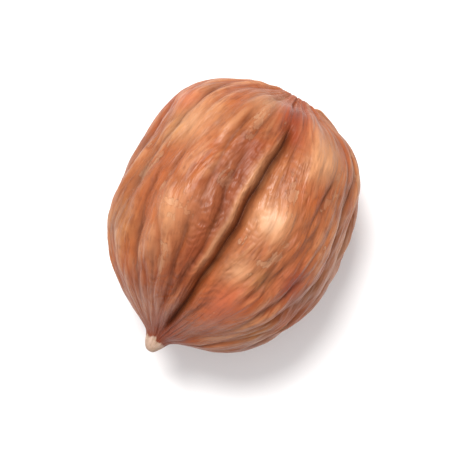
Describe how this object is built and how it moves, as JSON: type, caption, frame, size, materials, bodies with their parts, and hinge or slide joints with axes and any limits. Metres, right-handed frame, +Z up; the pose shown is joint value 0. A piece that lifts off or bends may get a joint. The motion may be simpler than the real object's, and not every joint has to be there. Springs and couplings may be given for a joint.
{
  "type": "hazelnut kernel",
  "caption": "Shelled hazelnut kernel in its brown skin, with a small pointed tip, a blunt base, a long furrow and wrinkled sides.",
  "frame": {"origin": "middle of the small flat spot that the kernel rests on, at its lowest point", "axes": "+X along the kernel from its pointed tip to its blunt base, +Z up, with the furrow along the top"},
  "size_m": [0.0157, 0.0126, 0.0119],
  "materials": {
    "skin": "thin papery brown skin, wrinkled along its length, satin with a faint oily sheen"
  },
  "bodies": {
    "root": {"kernel": "skin"}
  },
  "joints": []
}
